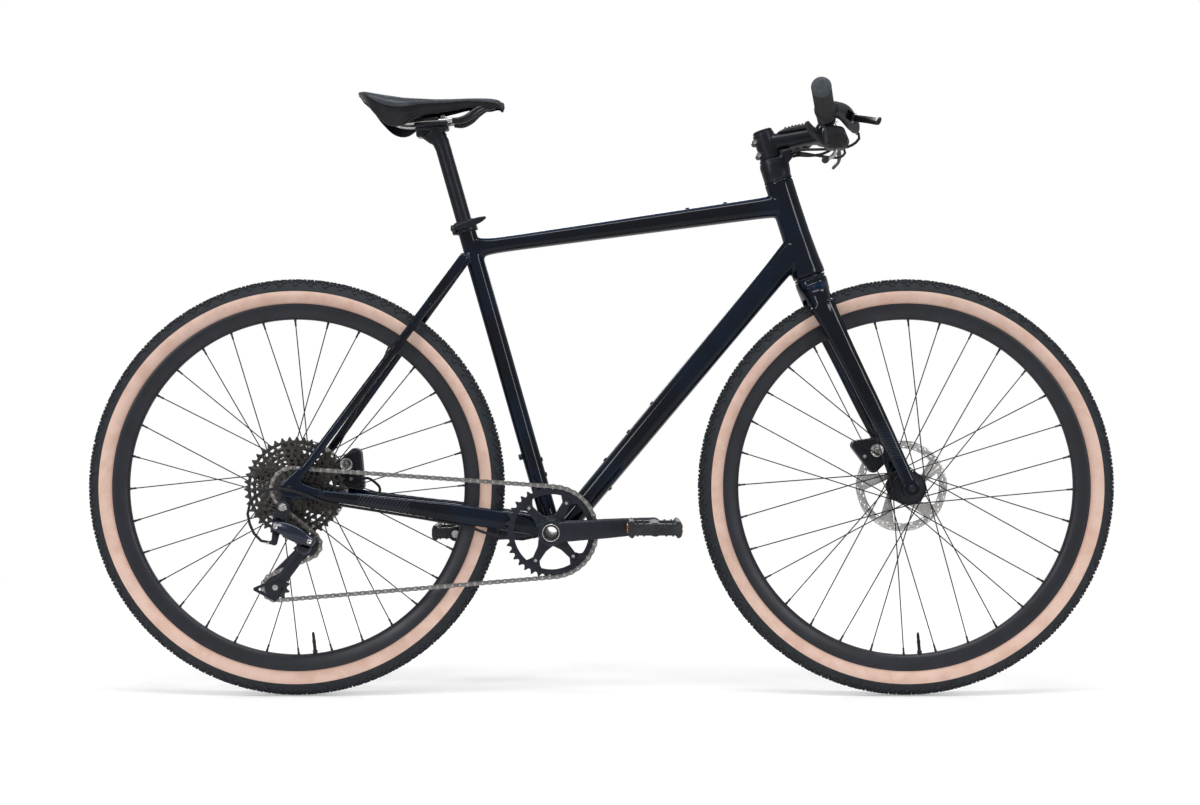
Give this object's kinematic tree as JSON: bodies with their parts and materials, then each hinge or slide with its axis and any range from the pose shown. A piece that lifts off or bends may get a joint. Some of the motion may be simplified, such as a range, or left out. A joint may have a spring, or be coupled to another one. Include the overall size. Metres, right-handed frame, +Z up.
{
  "type": "gravel bicycle",
  "caption": "Flat-bar gravel bicycle with a black frame, tan-wall tyres, disc brakes and a single-ring derailleur drive, for riding on roads and gravel.",
  "frame": {"origin": "on the ground, midway between the wheel axles, in the bicycle's middle plane", "axes": "+X to the front wheel, +Y to the rider's left, +Z up"},
  "size_m": [1.764, 0.6058, 1.034],
  "materials": {
    "frame_paint": "gloss near-black paint",
    "fork_paint": "gloss near-black paint",
    "anodised": "black anodised aluminium",
    "black": "satin black",
    "grip": "ribbed black rubber",
    "tyre": "black tread with a tan sidewall",
    "rim": "satin black",
    "spoke": "black stainless steel",
    "steel": "bare steel",
    "cogs": "dark nickel",
    "chain": "silver grey",
    "crank": "satin dark grey",
    "saddle_cover": "blue-grey synthetic leather",
    "saddle_shell": "gloss black",
    "hose": "satin black"
  },
  "bodies": {
    "frame": {"frame": "frame_paint", "bottom_bracket": "anodised", "headset_race": "anodised", "seat_clamp": "anodised", "derailleur_hanger": "anodised", "rear_axle": "anodised", "rear_caliper": "black", "rear_brake_hose": "hose", "rear_shift_housing": "hose", "derailleur_mount": "black", "chain": "chain"},
    "steering": {"fork": "fork_paint", "headset_cover": "anodised", "stem": "anodised", "top_cap": "anodised", "front_axle": "anodised", "front_caliper": "black", "handlebar": "anodised", "grip_right": "grip", "grip_left": "grip", "brake_lever_housing_right": "black", "brake_lever_housing_left": "black", "shifter": "black", "front_hose_right": "hose", "front_hose_left": "hose", "front_shift_housing": "hose"},
    "front_wheel": {"front_tyre": "tyre", "front_rim": "rim", "front_spokes_right": "spoke", "front_spokes_left": "spoke", "front_hub": "anodised", "front_brake_disc": "steel"},
    "rear_wheel": {"rear_tyre": "tyre", "rear_rim": "rim", "rear_spokes_right": "spoke", "rear_spokes_left": "spoke", "rear_hub": "anodised", "rear_brake_disc": "steel"},
    "freewheel": {"cassette": "cogs", "freehub": "anodised"},
    "crankset": {"crank_right": "crank", "crank_left": "crank", "chainring": "crank"},
    "pedal_right": {"pedal_right": "black"},
    "pedal_left": {"pedal_left": "black"},
    "derailleur_links": {"derailleur_links": "black"},
    "derailleur_knuckle": {"derailleur_knuckle": "black"},
    "derailleur_cage": {"derailleur_cage": "black"},
    "guide_pulley": {"guide_pulley": "black"},
    "tension_pulley": {"tension_pulley": "black"},
    "seatpost": {"seatpost": "anodised", "rail_clamp": "anodised"},
    "saddle": {"saddle_rails": "steel", "saddle_shell": "saddle_shell", "saddle_cover": "saddle_cover"},
    "seat_clamp_lever": {"seat_clamp_lever": "anodised"},
    "brake_lever_right": {"brake_lever_right": "black"},
    "brake_lever_left": {"brake_lever_left": "black"},
    "shift_thumb_lever": {"shift_thumb_lever": "steel"},
    "shift_paddle": {"shift_paddle": "black"}
  },
  "joints": [
    {"name": "steering", "type": "hinge", "parent": "frame", "child": "steering", "pos_m": [0.48054, 0, 0.34388], "axis": [-0.309, 0, 0.9511], "range_deg": [-60, 60]},
    {"name": "front_wheel_spin", "type": "hinge", "parent": "steering", "child": "front_wheel", "pos_m": [0.524, 0, 0.358], "axis": [0, 1, 0], "continuous": true},
    {"name": "rear_wheel_spin", "type": "hinge", "parent": "frame", "child": "rear_wheel", "pos_m": [-0.524, 0, 0.358], "axis": [0, 1, 0], "continuous": true},
    {"name": "crank_spin", "type": "hinge", "parent": "frame", "child": "crankset", "pos_m": [-0.0848, 0, 0.2846], "axis": [0, 1, 0], "continuous": true, "deforming": ["chain"]},
    {"name": "freewheel_spin", "type": "hinge", "parent": "frame", "child": "freewheel", "pos_m": [-0.524, 0, 0.358], "axis": [0, 1, 0], "continuous": true},
    {"name": "pedal_right_spin", "type": "hinge", "parent": "crankset", "child": "pedal_right", "pos_m": [0.08724, -0.1, 0.29723], "axis": [0, 1, 0], "continuous": true},
    {"name": "pedal_left_spin", "type": "hinge", "parent": "crankset", "child": "pedal_left", "pos_m": [-0.25684, 0.1, 0.27197], "axis": [0, 1, 0], "continuous": true},
    {"name": "derailleur_shift", "type": "hinge", "parent": "frame", "child": "derailleur_links", "pos_m": [-0.543, -0.091, 0.297], "axis": [0.3148, 0.6107, 0.7266], "range_deg": [-12, 26]},
    {"name": "derailleur_knuckle_turn", "type": "hinge", "parent": "derailleur_links", "child": "derailleur_knuckle", "pos_m": [-0.487, -0.091, 0.272], "axis": [0.3148, 0.6107, 0.7266], "range_deg": [-26, 12]},
    {"name": "derailleur_cage_swing", "type": "hinge", "parent": "derailleur_knuckle", "child": "derailleur_cage", "pos_m": [-0.498, -0.05, 0.262], "axis": [0, 1, 0], "range_deg": [-50, 50], "stiffness_Nm_per_rad": 0.5},
    {"name": "guide_pulley_spin", "type": "hinge", "parent": "derailleur_cage", "child": "guide_pulley", "pos_m": [-0.498, -0.05, 0.262], "axis": [0, 1, 0], "continuous": true},
    {"name": "tension_pulley_spin", "type": "hinge", "parent": "derailleur_cage", "child": "tension_pulley", "pos_m": [-0.55137, -0.05, 0.1909], "axis": [0, 1, 0], "continuous": true},
    {"name": "seatpost_height", "type": "slide", "parent": "frame", "child": "seatpost", "axis": [-0.2746, 0, 0.9615], "range_m": [-0.05, 0.05]},
    {"name": "saddle_slide", "type": "slide", "parent": "seatpost", "child": "saddle", "axis": [0.9976, 0, 0.0698], "range_m": [-0.012, 0.012]},
    {"name": "seat_clamp_release", "type": "hinge", "parent": "frame", "child": "seat_clamp_lever", "pos_m": [-0.25428, -0.0235, 0.80065], "axis": [0.2746, 0, -0.9615], "range_deg": [0, 150]},
    {"name": "brake_lever_right_pull", "type": "hinge", "parent": "steering", "child": "brake_lever_right", "pos_m": [0.41497, -0.128, 0.97203], "axis": [0.3665, 0, 0.9304], "range_deg": [-25, 0], "stiffness_Nm_per_rad": 1, "springref_deg": 5.73},
    {"name": "brake_lever_left_pull", "type": "hinge", "parent": "steering", "child": "brake_lever_left", "pos_m": [0.41497, 0.128, 0.97203], "axis": [0.3665, 0, 0.9304], "range_deg": [0, 25], "stiffness_Nm_per_rad": 1, "springref_deg": -5.73},
    {"name": "shift_thumb_push", "type": "hinge", "parent": "steering", "child": "shift_thumb_lever", "pos_m": [0.38827, -0.105, 0.91983], "axis": [0, 1, 0], "range_deg": [-20, 0], "stiffness_Nm_per_rad": 0.3, "springref_deg": 8.59},
    {"name": "shift_paddle_push", "type": "hinge", "parent": "steering", "child": "shift_paddle", "pos_m": [0.37327, -0.095, 0.93683], "axis": [0, 1, 0], "range_deg": [0, 20], "stiffness_Nm_per_rad": 0.3, "springref_deg": -8.59}
  ],
  "couplings": [
    {"joint": "freewheel_spin", "follows": "crank_spin", "ratio": 2.2353},
    {"joint": "guide_pulley_spin", "follows": "crank_spin", "ratio": -3.4545},
    {"joint": "tension_pulley_spin", "follows": "crank_spin", "ratio": 3.4545},
    {"joint": "derailleur_knuckle_turn", "follows": "derailleur_shift", "ratio": -1}
  ]
}
